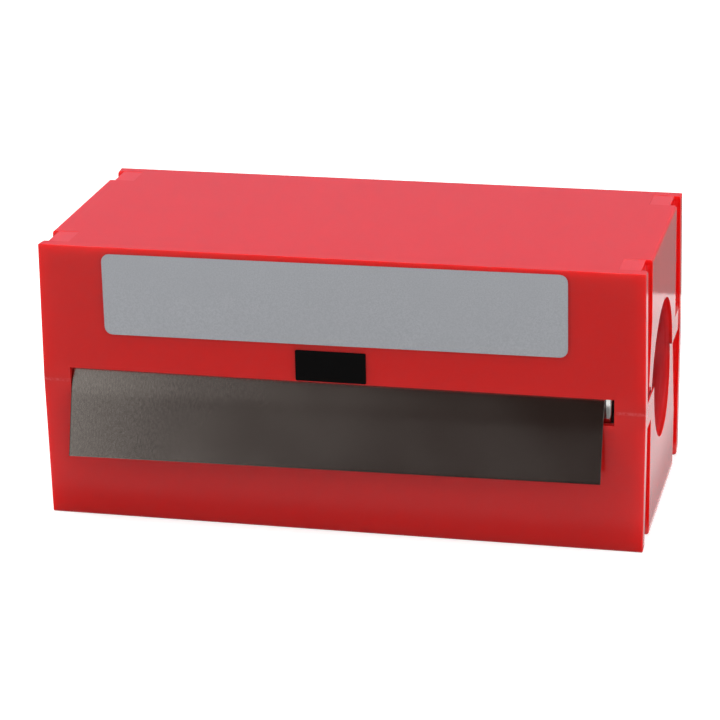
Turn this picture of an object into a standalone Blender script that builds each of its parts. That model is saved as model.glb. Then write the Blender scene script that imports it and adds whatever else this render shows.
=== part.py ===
"""Dispenser box of steel shim foil, modelled in Blender.

Two thin moulded half shells meet at mid-height on a film hinge along the front.
A roll of foil lies in the lower half, and its free end hangs out of the front slot.
Metres, +Z up, X along the box, the front faces -Y, origin at the middle of the base.
"""

from math import acos, atan2, cos, hypot, pi, radians, sin, tan

import bmesh
import bpy
from mathutils import Matrix, Vector

# Steel foil, its roll and its free end
FOIL_WIDTH = 0.1500
FOIL_THICKNESS = 0.0002
FOIL_LENGTH = 2.5
TURN_PITCH = 0.00024
ROLL_RADIUS = 0.0345
ROLL_SHIFT = -0.0004
ROLL_SEGMENTS = 72
END_STEP = 0.0003
SEAT_GAP = 0.0003
FREE_END_SHIFT = -0.0017
FREE_END_LENGTH = 0.0167
FREE_END_SKEW = 0.0018
FREE_END_BEND = 7.0
LIP_GAP = 0.0002

# Room round the roll
ROLL_PLAY_DEPTH = 0.0021
ROLL_PLAY_HEIGHT = 0.0035
ROLL_PLAY_LENGTH = 0.0024

# Moulded walls
FACE_WALL = 0.0024
PANEL_WALL = 0.0022
INNER_END_WALL = 0.0018
OUTER_END_WALL = 0.0018
POCKET_WIDTH = 0.0014
DRAFT = 0.00040
EDGE_RADIUS = 0.0008
EDGE_SEGMENTS = 3
UPPER_DROP = 0.0008
SEAM_GAP = 0.0003

# Ends: the panel, the corner grooves, the tabs, the laps that guide the lid, and the lead-in behind them
END_SET_BACK = 0.0003
GROOVE_DEPTH = 0.0020
CORNER_FLANGE = 0.0038
GROOVE_WIDTH = 0.0094
TAB_RAMP = 0.0033
TAB_HEIGHT = 0.0060
LAP_RISE = 0.0010
LAP_GAP = 0.0002
LAP_INTO_HOLE = 0.0028
LEAD_DEPTH = 0.0007
LEAD_HEIGHT = 0.0220
PATCH_LENGTH = 0.0059
PATCH_DEPTH = 0.0001

# Finger holes and their collars
HOLE_MARGIN = 0.0062
COLLAR_WALL = 0.0018
HOLE_SEGMENTS = 72

# Dispensing slot
SLOT_PLAY = 0.0017
SLOT_SHIFT = -0.0005
SLOT_HALF_HEIGHT = 0.00375

# Label and sticker on the upper half's front
LABEL_LEFT = 0.0186
LABEL_RIGHT = 0.0212
LABEL_DROP = 0.0016
LABEL_TILT = 0.33
LABEL_RADIUS = 0.0022
STICKER_LENGTH = 0.0198
STICKER_HEIGHT = 0.0088
STICKER_SHIFT = -0.0019
STICKER_RISE = 0.0003
STICKER_GAP = 0.0018
STICKER_RADIUS = 0.0004
LABEL_THICKNESS = 0.0002
LABEL_GAP = 0.0002

# Heights and depths, worked out from the roll outwards
CAVITY_HALF_DEPTH = ROLL_RADIUS + ROLL_PLAY_DEPTH
HALF_DEPTH = CAVITY_HALF_DEPTH + FACE_WALL
LOWER_HEIGHT = ROLL_RADIUS + ROLL_PLAY_HEIGHT + PANEL_WALL
UPPER_HEIGHT = LOWER_HEIGHT - UPPER_DROP
PARTING_Z = LOWER_HEIGHT
GROOVE_OUTER_Y = HALF_DEPTH - CORNER_FLANGE
GROOVE_INNER_Y = GROOVE_OUTER_Y - GROOVE_WIDTH
HOLE_RADIUS = GROOVE_INNER_Y - HOLE_MARGIN

# Lengths, worked out from the foil's width outwards
CAVITY_X = FOIL_WIDTH / 2 + ROLL_PLAY_LENGTH
INNER_WALL_X = CAVITY_X + INNER_END_WALL
POCKET_X = INNER_WALL_X + POCKET_WIDTH
GROOVE_FLOOR_X = POCKET_X + OUTER_END_WALL
END_PANEL_X = GROOVE_FLOOR_X + GROOVE_DEPTH
HALF_LENGTH = END_PANEL_X + END_SET_BACK

# How far a cutter runs past what it cuts
OVER = 0.0020


def clear_scene():
    """Remove whatever the scene holds."""
    for thing in list(bpy.data.objects):
        bpy.data.objects.remove(thing, do_unlink=True)


def material(name, color, roughness, metallic=0.0):
    """A plain Principled material."""
    mat = bpy.data.materials.new(name)
    mat.use_nodes = True
    shader = mat.node_tree.nodes["Principled BSDF"]
    shader.inputs["Base Color"].default_value = (*color, 1.0)
    shader.inputs["Roughness"].default_value = roughness
    shader.inputs["Metallic"].default_value = metallic
    return mat


def add_object(name, bm):
    """Close a bmesh into a named object with its faces pointing out."""
    bmesh.ops.recalc_face_normals(bm, faces=bm.faces)
    mesh = bpy.data.meshes.new(name)
    bm.to_mesh(mesh)
    bm.free()
    mesh.shade_smooth()
    mesh.set_sharp_from_angle(angle=radians(30))
    obj = bpy.data.objects.new(name, mesh)
    bpy.context.scene.collection.objects.link(obj)
    return obj


def loft(name, low_loop, high_loop, round_edges=None):
    """A closed solid between two loops of equally many points."""
    bm = bmesh.new()
    low = [bm.verts.new(p) for p in low_loop]
    high = [bm.verts.new(p) for p in high_loop]
    bm.faces.new(low)
    bm.faces.new(high)
    count = len(low)
    for i in range(count):
        j = (i + 1) % count
        bm.faces.new((low[i], low[j], high[j], high[i]))
    if round_edges:
        sides = [bm.edges.get((low[i], high[i])) for i in range(count)]
        rims = [bm.edges.get((high[i], high[(i + 1) % count])) for i in range(count)]
        bmesh.ops.bevel(bm, geom=sides + rims, offset=round_edges, segments=EDGE_SEGMENTS, profile=0.5,
                        affect="EDGES")
    return add_object(name, bm)


def half_height(side):
    """How far the upper half, side 1, or the lower half, side -1, reaches from the parting plane."""
    return UPPER_HEIGHT if side > 0 else LOWER_HEIGHT


def drafted_block(name, half_x, half_y, low, high, side, round_edges=None):
    """A block from height low to high off the parting plane, narrowing by the draft as it goes."""
    def loop(h):
        shrink = DRAFT * h / half_height(side)
        x, y, z = half_x - shrink, half_y - shrink, PARTING_Z + side * h
        return [(-x, -y, z), (x, -y, z), (x, y, z), (-x, y, z)]
    return loft(name, loop(low), loop(high), round_edges)


def prism(name, outline, axis, start, end):
    """A prism with a flat outline, drawn across axis X, Y or Z and run from start to end along it."""
    def place(point, along):
        coords = list(point)
        coords.insert("XYZ".index(axis), along)
        return coords
    return loft(name, [place(p, start) for p in outline], [place(p, end) for p in outline])


def rectangle(x0, x1, y0, y1):
    """The four corners of a rectangle."""
    return [(x0, y0), (x1, y0), (x1, y1), (x0, y1)]


def circle(radius, y, z, segments):
    """The points of a circle round an axis along X."""
    angles = [2 * pi * i / segments for i in range(segments)]
    return [(y + radius * cos(a), z + radius * sin(a)) for a in angles]


def boolean(target, tool, operation):
    """Cut a tool from a target, or fuse it, and leave the tool as a hidden guide."""
    modifier = target.modifiers.new(tool.name, "BOOLEAN")
    modifier.operation = operation
    modifier.solver = "EXACT"
    modifier.object = tool
    tool.hide_render = True
    tool.display_type = "WIRE"


def end_recess(name, end, side, floor_x, y0, y1, foot="plain"):
    """A cutter that takes an end back to floor_x, and at its foot leaves the tab's ramp or adds the lead-in."""
    outside = HALF_LENGTH + OVER
    top = half_height(side) + OVER
    if foot == "tab":
        slope = TAB_RAMP / (END_PANEL_X - floor_x)
        outline = [
            (floor_x, top),
            (floor_x, TAB_HEIGHT + TAB_RAMP),
            (outside, TAB_HEIGHT - slope * (outside - END_PANEL_X)),
            (outside, top),
        ]
    elif foot == "lead":
        slope = LEAD_DEPTH / LEAD_HEIGHT
        outline = [
            (floor_x, top),
            (floor_x, LEAD_HEIGHT),
            (floor_x - LEAD_DEPTH - slope * OVER, -OVER),
            (outside, -OVER),
            (outside, top),
        ]
    else:
        outline = rectangle(floor_x, outside, -OVER, top)
    placed = [(end * x, PARTING_Z + side * h) for x, h in outline]
    return prism(name, placed, "Y", *sorted((y0, y1)))


def add_laps(shell, side):
    """Raise the tabs past the parting plane as thin tongues, outside the other half's end panels."""
    low_x, high_x = END_PANEL_X - LEAD_DEPTH + LAP_GAP, HALF_LENGTH
    h0, h1 = -LAP_RISE, SEAM_GAP
    y0, y1 = side * (HOLE_RADIUS - LAP_INTO_HOLE), side * (GROOVE_OUTER_Y - LAP_GAP)
    for end, end_name in ((-1, "left"), (1, "right")):
        outline = [(end * x, PARTING_Z + side * h) for x, h in rectangle(low_x, high_x, h0, h1)]
        tongue = prism(shell.name + "_" + end_name + "_tongue", outline, "Y", *sorted((y0, y1)))
        boolean(shell, tongue, "UNION")


def cut_ends(shell, side):
    """Set the end panels back, and cut the corner grooves and the shallow patches beside them."""
    height = half_height(side)
    for end, end_name in ((-1, "left"), (1, "right")):
        tag = shell.name + "_" + end_name
        panel = end_recess(tag + "_panel", end, side, END_PANEL_X, -GROOVE_OUTER_Y, GROOVE_OUTER_Y)
        boolean(shell, panel, "DIFFERENCE")
        lead = end_recess(tag + "_lead", end, side, END_PANEL_X, -side * GROOVE_INNER_Y, 0, "lead")
        boolean(shell, lead, "DIFFERENCE")
        for face in (-1, 1):
            y0, y1 = sorted((face * GROOVE_INNER_Y, face * GROOVE_OUTER_Y))
            corner = tag + ("_front" if face < 0 else "_rear")
            foot = "tab" if face == side else "plain"
            groove = end_recess(corner + "_groove", end, side, GROOVE_FLOOR_X, y0, y1, foot)
            boolean(shell, groove, "DIFFERENCE")
            x0, x1 = sorted((end * (GROOVE_FLOOR_X - PATCH_LENGTH), end * (GROOVE_FLOOR_X + OVER)))
            z0, z1 = sorted((side * (height - PATCH_DEPTH), side * (height + OVER)))
            patch = prism(corner + "_patch", rectangle(x0, x1, y0, y1), "Z", PARTING_Z + z0, PARTING_Z + z1)
            boolean(shell, patch, "DIFFERENCE")


def cut_pockets(shell, side):
    """Hollow the double end walls from the parting plane, leaving the collar round the finger hole."""
    wide_x = END_PANEL_X - OUTER_END_WALL
    step_y = GROOVE_INNER_Y - OUTER_END_WALL
    side_y = CAVITY_HALF_DEPTH - DRAFT
    outline = [
        (INNER_WALL_X, -side_y), (POCKET_X, -side_y), (POCKET_X, -step_y), (wide_x, -step_y),
        (wide_x, step_y), (POCKET_X, step_y), (POCKET_X, side_y), (INNER_WALL_X, side_y),
    ]
    z0, z1 = sorted((PARTING_Z - side * OVER, PARTING_Z + side * (half_height(side) - PANEL_WALL)))
    collar = circle(HOLE_RADIUS + COLLAR_WALL, 0, PARTING_Z, HOLE_SEGMENTS)
    for end, end_name in ((-1, "left"), (1, "right")):
        tag = shell.name + "_" + end_name
        pocket = prism(tag + "_pocket", [(end * x, y) for x, y in outline], "Z", z0, z1)
        x0, x1 = sorted((end * (INNER_WALL_X - OVER), end * (wide_x + OVER)))
        boolean(pocket, prism(tag + "_collar", collar, "X", x0, x1), "DIFFERENCE")
        boolean(shell, pocket, "DIFFERENCE")


def cut_finger_holes(shell):
    """Bore the round hole through both end walls and the collar between them."""
    outline = circle(HOLE_RADIUS, 0, PARTING_Z, HOLE_SEGMENTS)
    for end, end_name in ((-1, "left"), (1, "right")):
        x0, x1 = sorted((end * (CAVITY_X - OVER), end * (HALF_LENGTH + OVER)))
        boolean(shell, prism(shell.name + "_" + end_name + "_hole", outline, "X", x0, x1), "DIFFERENCE")


def cut_slot(shell, side):
    """Notch the front wall, so that the two halves leave the dispensing slot between them."""
    z0, z1 = sorted((PARTING_Z - side * OVER, PARTING_Z + side * SLOT_HALF_HEIGHT))
    half = FOIL_WIDTH / 2 + SLOT_PLAY
    outline = rectangle(SLOT_SHIFT - half, SLOT_SHIFT + half, -HALF_DEPTH - OVER, -CAVITY_HALF_DEPTH + OVER)
    boolean(shell, prism(shell.name + "_slot", outline, "Z", z0, z1), "DIFFERENCE")


def half_shell(name, side, mat, laps=False):
    """One moulded half: side is 1 for the upper half and -1 for the lower one, which has the laps."""
    height = half_height(side)
    shell = drafted_block(name, HALF_LENGTH, HALF_DEPTH, SEAM_GAP / 2, height, side, EDGE_RADIUS)
    shell.data.materials.append(mat)
    if laps:
        add_laps(shell, side)
    cavity = drafted_block(name + "_cavity", CAVITY_X, CAVITY_HALF_DEPTH, -OVER, height - PANEL_WALL, side)
    boolean(shell, cavity, "DIFFERENCE")
    cut_pockets(shell, side)
    cut_ends(shell, side)
    cut_finger_holes(shell)
    cut_slot(shell, side)
    return shell


def roll_wall():
    """The wound wall's thickness: the number of turns that the foil's length makes, by their pitch."""
    turns = round(FOIL_LENGTH / (2 * pi * ROLL_RADIUS))
    return turns, turns * TURN_PITCH


def turned_roll(name, y, z):
    """The wound foil as one turned ring, with every second turn a little proud on each end."""
    turns, wall = roll_wall()
    half = FOIL_WIDTH / 2
    inner = ROLL_RADIUS - wall
    profile = [(half - END_STEP * (i % 2), inner + wall * i / turns) for i in range(turns + 1)]
    profile += [(-x, radius) for x, radius in reversed(profile)]
    bm = bmesh.new()
    verts = [bm.verts.new((x, 0.0, radius)) for x, radius in profile]
    for i, vert in enumerate(verts):
        bm.edges.new((vert, verts[(i + 1) % len(verts)]))
    bmesh.ops.spin(bm, geom=bm.verts[:] + bm.edges[:], cent=(0, 0, 0), axis=(1, 0, 0),
                   angle=2 * pi, steps=ROLL_SEGMENTS, use_merge=True)
    bmesh.ops.translate(bm, verts=bm.verts[:], vec=(ROLL_SHIFT, y, z))
    return add_object(name, bm)


def free_end_lean(y, z):
    """The free end's lean from upright, where it leaves the roll and passes just under the slot's lip."""
    lip_y = y + CAVITY_HALF_DEPTH
    lip_z = PARTING_Z + SLOT_HALF_HEIGHT - z
    return atan2(lip_z, lip_y) + acos((ROLL_RADIUS + LIP_GAP) / hypot(lip_y, lip_z))


def foil_roll(mat):
    """The roll resting in the lower half's front corner. Its free end bends over the lip, cut out of square."""
    y = -CAVITY_HALF_DEPTH + SEAT_GAP + ROLL_RADIUS
    z = PANEL_WALL + SEAT_GAP + ROLL_RADIUS
    roll = turned_roll("foil_roll", y, z)
    roll.data.materials.append(mat)
    lean = free_end_lean(y, z)
    outward = Vector((-cos(lean), sin(lean)))
    along = Vector((-sin(lean), -cos(lean)))
    outer = Vector((y, z)) + outward * ROLL_RADIUS
    inset = outward * FOIL_THICKNESS
    root = outer - inset - along * (ROLL_RADIUS * tan(pi / ROLL_SEGMENTS))
    bend = outer + along * ((outer.y - PARTING_Z + SLOT_HALF_HEIGHT) / cos(lean))
    hang = lean - radians(FREE_END_BEND)

    def strip_edge(x, length):
        end = bend + Vector((-sin(hang), -cos(hang))) * length
        return [(x, *corner) for corner in (root, outer, bend, end, end - inset, bend - inset)]
    left = strip_edge(FREE_END_SHIFT - FOIL_WIDTH / 2, FREE_END_LENGTH + FREE_END_SKEW / 2)
    right = strip_edge(FREE_END_SHIFT + FOIL_WIDTH / 2, FREE_END_LENGTH - FREE_END_SKEW / 2)
    boolean(roll, loft("foil_free_end", left, right), "UNION")
    return roll


def rounded_plate(name, x0, x1, h0, h1, radius, mat, tilt=0.0):
    """A thin plate with round corners on the upper half's drafted front face, h above the parting plane."""
    steps = 4
    outline = []
    for cx, ch, start in ((x1 - radius, h1 - radius, 0), (x0 + radius, h1 - radius, 90),
                          (x0 + radius, h0 + radius, 180), (x1 - radius, h0 + radius, 270)):
        for i in range(steps + 1):
            a = radians(start + 90 * i / steps)
            outline.append(Vector((cx + radius * cos(a), ch + radius * sin(a))))
    middle = Vector(((x0 + x1) / 2, (h0 + h1) / 2))
    turn = Matrix.Rotation(radians(tilt), 2)
    outline = [middle + turn @ (point - middle) for point in outline]

    def face(offset):
        return [(x, -HALF_DEPTH + DRAFT * h / UPPER_HEIGHT - offset, PARTING_Z + h) for x, h in outline]

    plate = loft(name, face(LABEL_GAP), face(LABEL_GAP + LABEL_THICKNESS))
    plate.data.materials.append(mat)
    return plate


def hinge_axis():
    """The film hinge's line, on the front face at the parting plane."""
    axis = bpy.data.objects.new("lid_hinge_axis", None)
    axis.location = (0, -HALF_DEPTH, PARTING_Z)
    bpy.context.scene.collection.objects.link(axis)
    return axis


def hang_on(parent, child):
    """Parent a piece without moving it."""
    child.parent = parent
    child.matrix_parent_inverse = Matrix.Translation(-parent.location)


def build():
    """Make every piece of the dispenser."""
    clear_scene()
    red = material("red_shell", (0.62, 0.02, 0.03), 0.38)
    steel = material("steel_foil", (0.40, 0.37, 0.34), 0.30, 1.0)
    silver = material("silver_label", (0.36, 0.38, 0.40), 0.45)
    black = material("black_sticker", (0.01, 0.01, 0.01), 0.40)
    half_shell("lower_shell", -1, red, laps=True)
    foil_roll(steel)
    axis = hinge_axis()
    lid = half_shell("upper_shell", 1, red)
    low = SLOT_HALF_HEIGHT + STICKER_RISE
    high = low + STICKER_HEIGHT
    x0, x1 = STICKER_SHIFT - STICKER_LENGTH / 2, STICKER_SHIFT + STICKER_LENGTH / 2
    sticker = rounded_plate("size_sticker", x0, x1, low, high, STICKER_RADIUS, black)
    low, high = high + STICKER_GAP, UPPER_HEIGHT - LABEL_DROP
    x0, x1 = LABEL_LEFT - HALF_LENGTH, HALF_LENGTH - LABEL_RIGHT
    label = rounded_plate("front_label", x0, x1, low, high, LABEL_RADIUS, silver, LABEL_TILT)
    for piece in (lid, label, sticker):
        hang_on(axis, piece)


build()
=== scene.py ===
"""Looks of the foil dispenser box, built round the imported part.

The two shells are dressed with rounded edges and moulded red plastic. The foil is one long strip,
wound in a spiral and led out of the slot. The label and the sticker are bare.
Metres, +Z up, X along the box, the front faces -Y, origin at the middle of the base.
"""

import math
import random

import bmesh
import bpy
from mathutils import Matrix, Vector


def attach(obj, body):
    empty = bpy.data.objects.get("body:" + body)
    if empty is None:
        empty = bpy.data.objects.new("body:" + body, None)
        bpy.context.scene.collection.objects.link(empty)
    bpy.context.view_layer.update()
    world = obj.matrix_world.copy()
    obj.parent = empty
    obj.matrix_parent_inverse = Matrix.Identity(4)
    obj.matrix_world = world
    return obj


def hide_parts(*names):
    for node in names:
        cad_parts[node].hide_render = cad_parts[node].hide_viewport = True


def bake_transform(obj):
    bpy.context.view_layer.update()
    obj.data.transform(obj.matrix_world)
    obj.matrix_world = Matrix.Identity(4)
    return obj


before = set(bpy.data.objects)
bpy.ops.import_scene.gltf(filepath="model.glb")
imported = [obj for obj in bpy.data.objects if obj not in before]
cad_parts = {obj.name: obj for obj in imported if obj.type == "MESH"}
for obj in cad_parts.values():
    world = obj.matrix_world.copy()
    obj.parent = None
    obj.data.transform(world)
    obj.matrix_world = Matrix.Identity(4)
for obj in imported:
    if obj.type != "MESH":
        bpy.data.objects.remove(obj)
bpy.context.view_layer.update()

# Sizes that the part's source gives
FOIL_WIDTH = 0.1500
FOIL_THICKNESS = 0.0002
ROLL_RADIUS = 0.0345
ROLL_Y = -0.0018
ROLL_Z = 0.0370
ROLL_SHIFT = -0.0004
FREE_END_SHIFT = -0.0017
FREE_END_LENGTH = 0.0167
FREE_END_SKEW = 0.0018
LIP_GAP = 0.0002
HALF_LENGTH = 0.0847
HALF_DEPTH = 0.0390
FACE_WALL = 0.0024
PARTING_Z = 0.0402
TOP_Z = 0.0796
DRAFT = 0.00040
EDGE_RADIUS = 0.0008
HOLE_RADIUS = 0.0196
GROOVE_INNER_Y = 0.0258
GROOVE_OUTER_Y = 0.0352
PATCH_X = 0.0765
END_PANEL_X = 0.0844
SLOT_LEFT = -0.0772
SLOT_RIGHT = 0.0762
SLOT_HALF_HEIGHT = 0.00375
SEAM_GAP = 0.0003

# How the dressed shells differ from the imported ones: the share of the rounding that stays on the
# upright edges and on the long rims, how near to the parting plane their faces lie, where the
# slot's left end is, and the small bevel on every other sharp edge
UPRIGHT_SHARE = 0.35
RIM_SHARE = 0.35
CLOSED_SEAM = 0.00002
SNUG_SLOT_LEFT = -0.0769
BEVEL = 0.00018
SHARP_TURN = 50.0

# The spiral of foil: its turns, the rows in a turn, how far a turn lies from the next, and how far
# the turns wander along the roll
TURNS = 11.9
ROWS_PER_TURN = 96
TURN_PITCH = 0.000232
TURN_WANDER = 0.00022

# The foil's free end: its bend in degrees, how long the bend is, the step along it, its rows, the
# width of the curled edges, and how far the sides and the lower edge curl
FREE_END_BEND = 7.7
SOFT_BEND = 0.0040
FREE_END_STEP = 0.0005
FREE_END_ROWS = 44
BURR = 0.0002
SIDE_CURL = 0.00003
END_CURL = 0.00004

# The hinge's film: its thickness, and how far it lies behind the front
FILM_THICKNESS = 0.0005
FILM_SINK = 0.00001

# How far the label and the sticker are let down onto the face that carries them
LET_DOWN = 0.00018

# Points of a mesh nearer than this are one, and faces that meet at fewer degrees are one face
WELD = 2e-6
FLAT_TURN = 0.8


# Nodes

class Tree:
    """Short calls for building a node tree."""

    def __init__(self, tree):
        self.tree = tree
        tree.nodes.clear()

    def fill(self, socket, value):
        if isinstance(value, bpy.types.NodeSocket):
            self.tree.links.new(value, socket)
        else:
            socket.default_value = value

    def add(self, kind, values=None, **settings):
        node = self.tree.nodes.new(kind)
        for key, value in settings.items():
            setattr(node, key, value)
        for key, value in (values or {}).items():
            self.fill(node.inputs[key], value)
        return node

    def math(self, operation, a, b=0.0):
        return self.add("ShaderNodeMath", {0: a, 1: b}, operation=operation).outputs[0]

    def product(self, first, *others):
        for other in others:
            first = self.math("MULTIPLY", first, other)
        return first

    def span(self, value, low, high, to_low=0.0, to_high=1.0, smooth=True):
        node = self.add("ShaderNodeMapRange", {0: value, 1: low, 2: high, 3: to_low, 4: to_high})
        node.interpolation_type = "SMOOTHSTEP" if smooth else "LINEAR"
        return node.outputs[0]

    def mix(self, factor, a, b):
        node = self.add("ShaderNodeMix", {0: factor}, data_type="RGBA")
        first, second = [s for s in node.inputs if s.type == "RGBA"]
        self.fill(first, a)
        self.fill(second, b)
        return next(s for s in node.outputs if s.type == "RGBA")

    def noise(self, vector, scale, detail=2.0, roughness=0.5):
        values = {"Vector": vector, "Scale": scale, "Detail": detail, "Roughness": roughness}
        return self.add("ShaderNodeTexNoise", values).outputs[0]

    def stretch(self, vector, scale):
        return self.add("ShaderNodeMapping", {"Vector": vector, "Scale": scale}).outputs[0]

    def bump(self, height, distance, normal=None):
        values = {"Height": height, "Distance": distance}
        if normal is not None:
            values["Normal"] = normal
        return self.add("ShaderNodeBump", values).outputs[0]

    def xyz(self, vector):
        return self.add("ShaderNodeSeparateXYZ", {0: vector}).outputs


def new_material(name):
    material = bpy.data.materials.new(name)
    material.use_nodes = True
    return material, Tree(material.node_tree)


def finish_material(tree, values):
    shader = tree.add("ShaderNodeBsdfPrincipled", values)
    tree.add("ShaderNodeOutputMaterial", {0: shader.outputs[0]})


def red_plastic():
    """Moulded polypropylene: a warm red that light soaks into a little, with a satin skin."""
    material, t = new_material("moulded_red")
    place = t.add("ShaderNodeTexCoord").outputs["Object"]
    x, y, z = t.xyz(place)
    high = t.math("SUBTRACT", z, PARTING_Z)
    across, deep, off_seam = (t.math("ABSOLUTE", value) for value in (x, y, high))
    broad = t.noise(place, 28.0, 2.0)
    fine = t.noise(place, 900.0, 3.0)
    colour = t.mix(broad, (0.650, 0.0150, 0.0140, 1), (0.690, 0.0175, 0.0160, 1))
    colour = t.mix(t.span(fine, 0.35, 0.65, 0.0, 0.03), colour, (0.74, 0.03, 0.03, 1))

    # Painted light: the cavity and the finger holes are painted paler and streaked, the holes most,
    # for light that soaks in through the plastic
    square = t.math("ADD", t.math("MULTIPLY", y, y), t.math("MULTIPLY", high, high))
    from_axis = t.math("SQRT", square)
    bore = t.span(from_axis, HOLE_RADIUS + 0.0002, HOLE_RADIUS + 0.0005, 1.0, 0.0)
    inner = t.product(
        t.span(t.math("SUBTRACT", HALF_DEPTH - 0.0010, deep), 0.0, 0.0005),
        t.span(t.math("SUBTRACT", END_PANEL_X - 0.0005, across), 0.0, 0.0010),
        t.span(t.math("SUBTRACT", PARTING_Z - 0.0020, off_seam), 0.0, 0.0005))
    streak = t.noise(t.stretch(place, (900.0, 60.0, 60.0)), 1.0, 3.0, 0.6)
    painted_inner_light = t.mix(t.span(streak, 0.35, 0.65), (0.90, 0.038, 0.046, 1), (0.94, 0.066, 0.078, 1))
    colour = t.mix(t.product(inner, t.span(bore, 0.0, 1.0, 0.6, 1.0)), colour, painted_inner_light)

    # The shallow patches beside the corner grooves are a little paler
    patch = t.product(
        t.span(across, PATCH_X - 0.0001, PATCH_X + 0.0001),
        t.span(deep, GROOVE_INNER_Y - 0.0001, GROOVE_INNER_Y + 0.0001),
        t.span(deep, GROOVE_OUTER_Y - 0.0001, GROOVE_OUTER_Y + 0.0001, 1.0, 0.0),
        t.span(off_seam, 0.0385, 0.0388))
    colour = t.mix(t.product(patch, 0.45), colour, (0.78, 0.055, 0.060, 1))

    # The front crease is faintly whitened beside the slot
    crease = t.product(
        t.span(across, SLOT_RIGHT, SLOT_RIGHT + 0.0015),
        t.span(deep, 0.0380, 0.0385),
        t.span(off_seam, 0.0001, 0.0007, 1.0, 0.0),
        t.span(t.noise(place, 1500.0, 2.0), 0.35, 0.65, 0.05, 0.35))
    colour = t.mix(crease, colour, (0.86, 0.16, 0.17, 1))

    skin = t.bump(fine, 0.000012)
    rough = t.span(t.noise(place, 45.0, 3.0), 0.3, 0.7, 0.12, 0.16)
    finish_material(t, {
        "Base Color": colour,
        # The end panels are glossier than the rest
        "Roughness": t.math("SUBTRACT", rough, t.span(across, 0.0815, 0.0820, 0.0, 0.06)),
        "Normal": t.bump(t.noise(place, 60.0, 1.0), 0.00006, skin),
        "IOR": 1.49,
        # Light that soaks in would be lost between the closed faces, so it is less near the seam
        "Subsurface Weight": t.span(off_seam, 0.0005, 0.0060, 0.25, 1.0),
        "Subsurface Radius": (1.0, 0.10, 0.09),
        "Subsurface Scale": 0.0060,
    })
    return material


def steel_foil():
    """Cold rolled stainless foil: its grain runs along the strip, which the UV map follows."""
    material, t = new_material("rolled_steel")
    place = t.add("ShaderNodeTexCoord").outputs["UV"]
    grain = t.noise(t.stretch(place, (1.0, 0.35, 1.0)), 2400.0, 2.0, 0.6)
    mottle = t.noise(t.stretch(place, (1.0, 0.50, 1.0)), 700.0, 3.0, 0.6)
    broad = t.noise(place, 30.0, 2.0)
    colour = t.mix(t.span(grain, 0.3, 0.7), (0.34, 0.308, 0.285, 1), (0.44, 0.400, 0.372, 1))
    colour = t.mix(t.span(mottle, 0.35, 0.65, 0.0, 0.15), colour, (0.32, 0.290, 0.268, 1))

    # The wound part is painted brighter, a painted reflection of the bright floor on the same foil,
    # with lines along the strip
    wound = t.span(t.xyz(place)[1], -0.0275, -0.0265, 1.0, 0.0)
    lines = t.noise(t.stretch(place, (1.0, 0.01, 1.0)), 1500.0, 2.0)
    painted_roll_sheen = t.mix(t.span(lines, 0.35, 0.65), (0.62, 0.61, 0.59, 1), (0.80, 0.79, 0.77, 1))
    colour = t.mix(wound, colour, painted_roll_sheen)
    height = t.math("ADD", t.math("MULTIPLY", grain, 0.6), t.math("MULTIPLY", mottle, 0.4))
    rough = t.span(broad, 0.3, 0.7, 0.20, 0.23)
    finish_material(t, {
        "Base Color": colour,
        "Metallic": 1.0,
        "Roughness": t.math("SUBTRACT", rough, t.math("MULTIPLY", wound, 0.08)),
        "Anisotropic": 0.3,
        "Normal": t.bump(height, 0.0000015),
    })
    return material


def label_stock():
    """Silver-grey label stock, left bare: a faint fleck in its coating."""
    material, t = new_material("silver_stock")
    place = t.add("ShaderNodeTexCoord").outputs["Object"]
    fleck = t.noise(place, 2600.0, 2.0, 0.6)
    cloud = t.noise(place, 70.0, 3.0)
    colour = t.mix(t.span(fleck, 0.3, 0.7), (0.372, 0.386, 0.414, 1), (0.444, 0.461, 0.489, 1))
    colour = t.mix(t.span(cloud, 0.3, 0.7, 0.0, 0.35), colour, (0.386, 0.401, 0.427, 1))
    finish_material(t, {
        "Base Color": colour,
        "Metallic": 0.25,
        "Roughness": t.span(cloud, 0.3, 0.7, 0.42, 0.5),
        "Normal": t.bump(fleck, 0.000008),
    })
    return material


def black_stock():
    """Black sticker stock with a soft sheen."""
    material, t = new_material("black_stock")
    place = t.add("ShaderNodeTexCoord").outputs["Object"]
    fleck = t.noise(place, 1800.0, 2.0)
    finish_material(t, {
        "Base Color": t.mix(fleck, (0.0008, 0.0007, 0.0007, 1), (0.0024, 0.0021, 0.0021, 1)),
        "Roughness": t.span(fleck, 0.3, 0.7, 0.35, 0.45),
        "Specular IOR Level": 0.08,
        "Normal": t.bump(fleck, 0.000006),
    })
    return material


# Pieces

def link(name, mesh, material, body):
    obj = bpy.data.objects.new(name, mesh)
    bpy.context.scene.collection.objects.link(obj)
    mesh.materials.clear()
    mesh.materials.append(material)
    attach(obj, body)
    return obj


def merged_copy(node):
    """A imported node's mesh as a bmesh, with its points joined and its flat faces whole."""
    bm = bmesh.new()
    bm.from_mesh(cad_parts[node].data)
    bmesh.ops.remove_doubles(bm, verts=bm.verts, dist=WELD)
    bmesh.ops.dissolve_limit(
        bm, angle_limit=math.radians(FLAT_TURN), verts=bm.verts, edges=bm.edges)
    return bm


def smooth_mesh(name, bm, sharp_turn):
    """The bmesh as a smooth mesh that keeps its edges of more than sharp_turn degrees."""
    mesh = bpy.data.meshes.new(name)
    bm.to_mesh(mesh)
    bm.free()
    mesh.shade_smooth()
    mesh.set_sharp_from_angle(angle=math.radians(sharp_turn))
    return mesh


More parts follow.
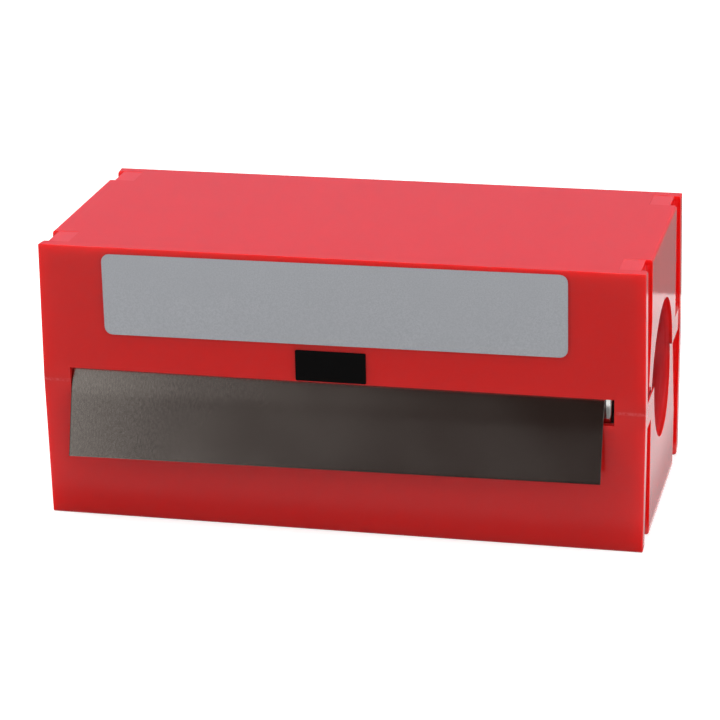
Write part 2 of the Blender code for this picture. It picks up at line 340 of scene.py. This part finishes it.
def eased(co, side):
    """Where a packed shell's point goes: its corners drawn to their real roundness, and its
    parting face closed. Side is 1 for the upper shell and -1 for the lower one.
    """
    height = TOP_Z - PARTING_Z if side > 0 else PARTING_Z
    h = side * (co.z - PARTING_Z)
    shrink = DRAFT * h / height
    end = HALF_LENGTH - shrink - abs(co.x)
    face = HALF_DEPTH - shrink - abs(co.y)
    panel = height - h
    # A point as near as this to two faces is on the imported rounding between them
    near = EDGE_RADIUS * 1.02
    if end < near and face < near:
        end, face = end * UPRIGHT_SHARE, face * UPRIGHT_SHARE
    if face < near and panel < near:
        face, panel = face * RIM_SHARE, panel * RIM_SHARE
    if abs(co.x - SLOT_LEFT) < 0.00002 and co.y < 0:
        co = Vector((SNUG_SLOT_LEFT, co.y, co.z))
        end = HALF_LENGTH - shrink - abs(co.x)
    if abs(h) < SEAM_GAP * 0.52:
        h = CLOSED_SEAM
    else:
        h = height - panel
    x = math.copysign(HALF_LENGTH - shrink - end, co.x)
    y = math.copysign(HALF_DEPTH - shrink - face, co.y)
    return Vector((x, y, PARTING_Z + side * h))


def dressed_shell(name, node, side, material, body):
    """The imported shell's own mesh with its edges at their real roundness."""
    bm = merged_copy(node)
    for vert in bm.verts:
        vert.co = eased(vert.co, side)
    weight = bm.edges.layers.float.new("bevel_weight_edge")
    for edge in bm.edges:
        at_seam = all(abs(vert.co.z - PARTING_Z) < 2 * CLOSED_SEAM for vert in edge.verts)
        turns = edge.is_manifold and edge.calc_face_angle() > math.radians(SHARP_TURN)
        if turns and not at_seam:
            edge[weight] = 1.0
    obj = link(name, smooth_mesh(name, bm, 34), material, body)
    rounding = obj.modifiers.new("rounding", "BEVEL")
    rounding.width = BEVEL
    rounding.segments = 2
    rounding.limit_method = "WEIGHT"
    obj.modifiers.new("flat_faces", "WEIGHTED_NORMAL").keep_sharp = True
    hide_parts(node)


def dressed_label(name, node, material, lift):
    """A thin label in its node's place, let down onto the face that carries it."""
    bm = merged_copy(node)
    bmesh.ops.translate(bm, verts=bm.verts, vec=(0, lift, 0))
    obj = link(name, smooth_mesh(name, bm, 30), material, "lid")
    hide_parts(node)


def ease(part):
    return part * part * (3 - 2 * part)


def wound_rows(lean):
    """Rows of the wound strip from the inside out, and the length that they take.

    Seen along the roll, in Y and Z. A row is its place at the left and at the right, the way out
    of the roll, its shift along X, its place along the strip, and its curl.
    """
    middle = ROLL_RADIUS - FOIL_THICKNESS / 2
    count = round(TURNS * ROWS_PER_TURN)
    rng = random.Random(4)
    wander = [rng.uniform(-0.5, 0.5) for _ in range(round(TURNS) + 3)]
    rows, arc = [], 0.0
    for i in range(count + 1):
        back = (count - i) / ROWS_PER_TURN
        angle = math.pi - lean - 2 * math.pi * back
        radius = middle - TURN_PITCH * back
        whole = int(back)
        part = ease(back - whole)
        drift = wander[whole] * (1 - part) + wander[whole + 1] * part
        # Over its last 0.8 turn the strip moves to the free end's place along X
        settle = ease(min(1.0, back / 0.8))
        shift = FREE_END_SHIFT + (ROLL_SHIFT + TURN_WANDER * drift - FREE_END_SHIFT) * settle
        out = Vector((math.cos(angle), math.sin(angle)))
        place = Vector((ROLL_Y, ROLL_Z)) + out * radius
        rows.append((place, place, out, shift, arc, 0.0))
        arc += 2 * math.pi * radius / ROWS_PER_TURN
    return rows, arc


def free_end_rows(place, out, lean, arc):
    """Rows of the free end, from the roll over the slot's lip to its lower edge, and its length."""
    straight = (place.y - PARTING_Z + SLOT_HALF_HEIGHT) / math.cos(lean)
    length = straight + FREE_END_LENGTH
    bend = math.radians(FREE_END_BEND)
    places, travel = [(place, out)], 0.0
    while travel < length + FREE_END_SKEW:
        travel += FREE_END_STEP
        bent = (travel - FREE_END_STEP / 2 - straight) / SOFT_BEND + 0.5
        turned = lean - bend * min(1.0, max(0.0, bent))
        place = place + Vector((-math.sin(turned), -math.cos(turned))) * FREE_END_STEP
        places.append((place, Vector((-math.cos(turned), math.sin(turned)))))

    def place_at(distance):
        whole = min(int(distance / FREE_END_STEP), len(places) - 2)
        return places[whole][0].lerp(places[whole + 1][0], distance / FREE_END_STEP - whole)

    rows = []
    shares = [i / FREE_END_ROWS for i in range(1, FREE_END_ROWS)] + [1.0 - BURR / length, 1.0]
    for i, share in enumerate(shares):
        left = (length + FREE_END_SKEW / 2) * share
        right = (length - FREE_END_SKEW / 2) * share
        out = places[min(int(left / FREE_END_STEP), len(places) - 1)][1]
        lift = out * (END_CURL if share == 1.0 else 0.0)
        # The sides' curl sets in over six rows, soon after the foil has left the roll
        curl = SIDE_CURL * min(1.0, max(0.0, (i - 5) / 6))
        rows.append((place_at(left) + lift, place_at(right) + lift, out, FREE_END_SHIFT,
                     arc + left, curl))
    return rows, length


def strip_ring(bm, left, right, out, shift, curl):
    """The eight points round the strip at a row, and how far along its width each one is."""
    half = FOIL_WIDTH / 2
    line = ((-half, left + out * curl), (BURR - half, left),
            (half - BURR, right), (half, right + out * curl))
    ring, us = [], []
    for side, points, start in ((-1, line, FOIL_WIDTH + 0.01), (1, line[::-1], 0.0)):
        for x, place in points:
            point = place + out * (side * FOIL_THICKNESS / 2)
            ring.append(bm.verts.new((shift + x, point.x, point.y)))
            us.append(x + start)
    return ring, us


def foil_strip(material):
    """One strip of foil: wound from the inside out, out through the slot, and bent over its lip.

    Its UV map is in metres across and along the strip, with 0 at the lower edge.
    """
    lip_y = ROLL_Y + HALF_DEPTH - FACE_WALL
    lip_z = PARTING_Z + SLOT_HALF_HEIGHT - ROLL_Z
    clearance = math.acos((ROLL_RADIUS + LIP_GAP) / math.hypot(lip_y, lip_z))
    lean = math.atan2(lip_z, lip_y) + clearance
    rows, arc = wound_rows(lean)
    free, length = free_end_rows(rows[-1][0], rows[-1][2], lean, arc)
    bm = bmesh.new()
    uv = bm.loops.layers.uv.new("strip")
    rings = []
    for left, right, out, shift, along, curl in rows + free:
        rings.append((*strip_ring(bm, left, right, out, shift, curl), along - arc - length))
    for (a, us, va), (b, _, vb) in zip(rings, rings[1:]):
        for k in range(8):
            j = (k + 1) % 8
            face = bm.faces.new((a[k], a[j], b[j], b[k]))
            ends = (us[k], us[j]) if k not in (3, 7) else (us[k], us[k] + FOIL_THICKNESS)
            for loop, u, v in zip(face.loops, (*ends, *ends[::-1]), (va, va, vb, vb)):
                loop[uv].uv = (u, v)
    bm.faces.new(rings[0][0][::-1])
    bm.faces.new(rings[-1][0])
    bmesh.ops.recalc_face_normals(bm, faces=bm.faces)
    mesh = smooth_mesh("foil_strip", bm, 20)
    obj = link("foil_strip", mesh, material, "lower")
    obj.modifiers.new("flat_faces", "WEIGHTED_NORMAL").keep_sharp = True
    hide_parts("foil_roll")


def hinge_film(name, x0, x1, material):
    """The thin web that joins the halves along the front crease."""
    steps, spans = 4, 6
    low, high = PARTING_Z - 2 * CLOSED_SEAM, PARTING_Z + 2 * CLOSED_SEAM
    bm = bmesh.new()
    layers = []
    for depth in (0.0, FILM_THICKNESS):
        y = -HALF_DEPTH + FILM_SINK + depth
        rows = []
        for i in range(steps + 1):
            z = low + (high - low) * i / steps
            rows.append([bm.verts.new((x0 + (x1 - x0) * j / spans, y, z)) for j in range(spans + 1)])
        layers.append(rows)
    front, back = layers
    for rows in layers:
        for a, b in zip(rows, rows[1:]):
            for j in range(spans):
                bm.faces.new((a[j], a[j + 1], b[j + 1], b[j]))
    for i in (0, steps):
        for j in range(spans):
            bm.faces.new((front[i][j], front[i][j + 1], back[i][j + 1], back[i][j]))
    for j in (0, spans):
        for i in range(steps):
            bm.faces.new((front[i][j], front[i + 1][j], back[i + 1][j], back[i][j]))
    bmesh.ops.recalc_face_normals(bm, faces=bm.faces)
    mesh = bpy.data.meshes.new(name)
    bm.to_mesh(mesh)
    bm.free()
    mesh.materials.append(material)
    obj = bpy.data.objects.new(name, mesh)
    bpy.context.scene.collection.objects.link(obj)
    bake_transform(obj)


red = red_plastic()
dressed_shell("lower_case", "lower_shell", -1, red, "lower")
dressed_shell("upper_case", "upper_shell", 1, red, "lid")
hinge_film("hinge_film_left", -HALF_LENGTH + 0.0001, SNUG_SLOT_LEFT, red)
hinge_film("hinge_film_right", SLOT_RIGHT, HALF_LENGTH - 0.0001, red)
foil_strip(steel_foil())
dressed_label("label_plate", "front_label", label_stock(), LET_DOWN)
dressed_label("sticker_plate", "size_sticker", black_stock(), LET_DOWN)


# Camera, floor and light

scene = bpy.context.scene
camera = bpy.data.objects.new("camera", bpy.data.cameras.new("camera"))
scene.collection.objects.link(camera)
camera.location = (0.17816, -0.76372, 0.31689)
camera.rotation_euler = (math.radians(70.363), math.radians(1.131), math.radians(12.928))
camera.data.lens = 145.25
camera.data.sensor_width = 36.0
camera.data.clip_start = 0.05
camera.data.clip_end = 50.0
scene.camera = camera

# The world's strength where it lights the object, and the floor's grey and its glow, which with
# that light add up to white where nothing shades it
WORLD_LIGHT = 0.42
FLOOR_GREY = 0.62
FLOOR_GLOW = 0.62


def seen(tree):
    """1 for a ray that shows the background: from the camera, mirrored or passed through."""
    path = tree.add("ShaderNodeLightPath").outputs
    either = tree.math("MAXIMUM", path["Is Camera Ray"], path["Is Glossy Ray"])
    return tree.math("MAXIMUM", either, path["Is Transmission Ray"])


def plain_world():
    world = bpy.data.worlds.new("studio")
    scene.world = world
    world.use_nodes = True
    t = Tree(world.node_tree)
    strength = t.span(seen(t), 0.0, 1.0, WORLD_LIGHT, 1.0, smooth=False)
    background = t.add("ShaderNodeBackground", {"Color": (1, 1, 1, 1), "Strength": strength})
    t.add("ShaderNodeOutputWorld", {0: background.outputs[0]})


def plane(name, corners, material):
    """A flat piece of the studio."""
    mesh = bpy.data.meshes.new(name)
    mesh.from_pydata(corners, [], [(0, 1, 2, 3)])
    mesh.materials.append(material)
    obj = bpy.data.objects.new(name, mesh)
    scene.collection.objects.link(obj)
    return obj


def upright(y, x0, x1, z0, z1):
    return [(x0, y, z0), (x1, y, z0), (x1, y, z1), (x0, y, z1)]


def flat(z, x0, x1, y0, y1):
    return [(x0, y0, z), (x1, y0, z), (x1, y1, z), (x0, y1, z)]


def pale_floor():
    """A pale floor that shows white where nothing shades it."""
    material, t = new_material("floor")
    grey = (FLOOR_GREY, FLOOR_GREY, FLOOR_GREY, 1)
    diffuse = t.add("ShaderNodeBsdfDiffuse", {"Color": grey})
    glow = t.add("ShaderNodeEmission", {"Strength": t.product(seen(t), FLOOR_GLOW)})
    total = t.add("ShaderNodeAddShader", {0: diffuse.outputs[0], 1: glow.outputs[0]})
    t.add("ShaderNodeOutputMaterial", {0: total.outputs[0]})
    floor = plane("floor", flat(0, -3.0, 3.0, -3.0, 3.0), material)
    floor.location.z = -0.0002


def card(name, corners, near, far, axis, start, stop, fades=()):
    """A studio card that only mirrored rays see.

    Its colour runs from near to far between two places along an axis. Each fade is an axis, two
    places on it, and the card's strength at the second one.
    """
    material, t = new_material(name)
    places = t.xyz(t.add("ShaderNodeTexCoord").outputs["Object"])
    colour = t.mix(t.span(places[axis], start, stop), (*near, 1), (*far, 1))
    strength = 1.0
    for fade_axis, first, last, least in fades:
        strength = t.product(t.span(places[fade_axis], first, last, 1.0, least), strength)
    glow = t.add("ShaderNodeEmission", {"Color": colour, "Strength": strength})
    t.add("ShaderNodeOutputMaterial", {0: glow.outputs[0]})
    obj = plane(name, corners, material)
    obj.visible_camera = False
    obj.visible_diffuse = False
    obj.visible_shadow = False
    obj.visible_transmission = False


def softbox(name, location, width, height, power):
    """A soft lamp that faces the middle of the box."""
    data = bpy.data.lights.new(name, "AREA")
    data.shape = "RECTANGLE"
    data.size, data.size_y = width, height
    data.energy = power
    obj = bpy.data.objects.new(name, data)
    scene.collection.objects.link(obj)
    obj.location = location
    facing = Vector((0, 0, 0.04)) - Vector(location)
    obj.rotation_euler = facing.to_track_quat("-Z", "Y").to_euler()


plain_world()
pale_floor()
# The free end mirrors the front card, the front the floor card, and the right end the other two
card("front_card", upright(-1.1, -1.8, 1.8, 0.05, 3.0),
     (1.12, 1.12, 1.10), (0.022, 0.005, 0.002), 0, -0.62, -0.35)
# Painted shade: the floor card stands in for the floor in front lying in the object's shade, with a
# painted shadow darkening it towards the box and under it
card("floor_card", flat(0.0004, -0.9, 0.0846, -0.36, -0.030),
     (0.86, 0.80, 0.84), (0.44, 0.44, 0.44), 1, -0.08, -0.17,
     ((0, -0.17, -0.07, 0.60), (1, -0.062, -0.046, 0.35)))
# Painted light and shade: the right card is darker near the box as a painted shadow, and brighter
# towards the back as a painted pool of light on the floor
card("right_card", flat(0.0004, 0.0848, 1.5, -0.30, 0.184),
     (0.50, 0.50, 0.51), (0.86, 0.86, 0.87), 0, 0.0855, 0.0915,
     ((1, 0.150, 0.180, 1.2),))
card("back_card", upright(0.185, -0.9, 1.2, 0.0, 1.2),
     (0.30, 0.30, 0.30), (0.36, 0.36, 0.46), 2, 0.05, 0.12)
softbox("top_light", (-0.05, 0.00, 1.25), 1.1, 0.9, 14.0)
softbox("side_light", (1.4, -0.25, 0.45), 0.7, 0.7, 8.0)
softbox("left_light", (-1.3, -0.5, 0.6), 0.6, 0.6, 6.0)

scene.view_settings.view_transform = "Standard"
